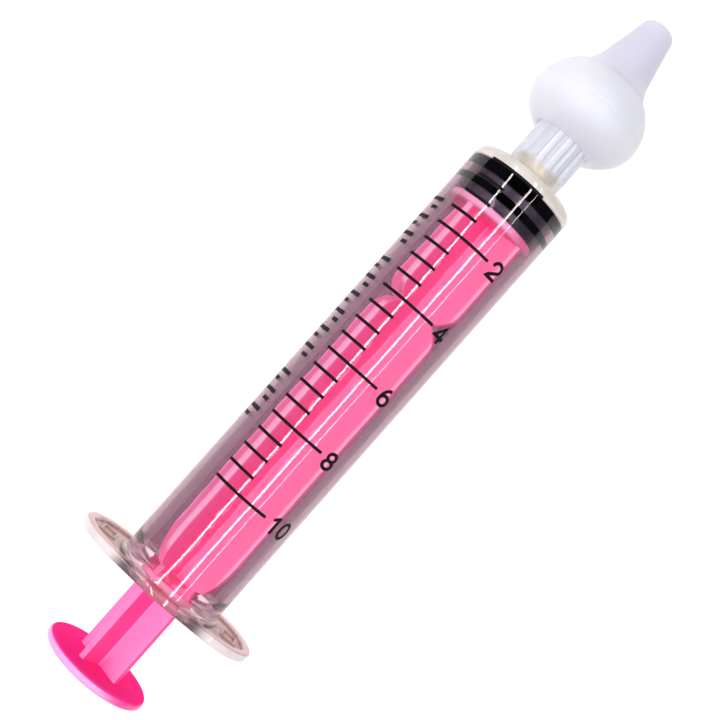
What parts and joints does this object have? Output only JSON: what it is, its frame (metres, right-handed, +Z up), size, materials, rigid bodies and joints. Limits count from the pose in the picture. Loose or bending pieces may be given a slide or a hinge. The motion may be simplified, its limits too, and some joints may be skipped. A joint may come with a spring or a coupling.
{
  "type": "oral syringe",
  "caption": "Clear graduated syringe barrel with finger flange, sliding cross-ribbed plunger and rubber gasket, fluted nozzle connector and soft bulb-shaped silicone tip.",
  "frame": {"origin": "middle of the syringe's length, on the surface it lies on: the bottom of the flange's lower edge, in the mid plane", "axes": "+X along the syringe's axis towards the tip, +Y across the flange's wings, +Z up with the printed scale facing up"},
  "size_m": [0.1214, 0.0302, 0.0186],
  "materials": {
    "clear_plastic": "clear moulded polypropylene, glossy, slightly wavy",
    "black_ink": "screen-printed ink",
    "black_rubber": "smooth moulded rubber, lightly oiled",
    "pink_plastic": "glossy injection moulded",
    "frosted_plastic": "translucent, satin",
    "white_silicone": "milky silicone, satin"
  },
  "bodies": {
    "barrel": {"barrel": "clear_plastic", "scale_lines": "black_ink", "scale_numbers": "black_ink", "side_dashes": "black_ink"},
    "gasket": {"gasket": "black_rubber"},
    "plunger": {"plunger_rod": "pink_plastic"},
    "connector": {"tip_connector": "frosted_plastic"},
    "tip": {"nasal_tip": "white_silicone"}
  },
  "joints": [
    {"name": "plunger_draw", "type": "slide", "parent": "barrel", "child": "gasket", "axis": [-1, 0, 0], "range_m": [0, 0.065]},
    {"name": "plunger_turn", "type": "hinge", "parent": "gasket", "child": "plunger", "pos_m": [0, 0, 0.0093], "axis": [1, 0, 0], "continuous": true},
    {"name": "connector_pull", "type": "slide", "parent": "barrel", "child": "connector", "axis": [1, 0, 0], "range_m": [0, 0.012]},
    {"name": "tip_pull", "type": "slide", "parent": "connector", "child": "tip", "axis": [1, 0, 0], "range_m": [0, 0.012]}
  ]
}
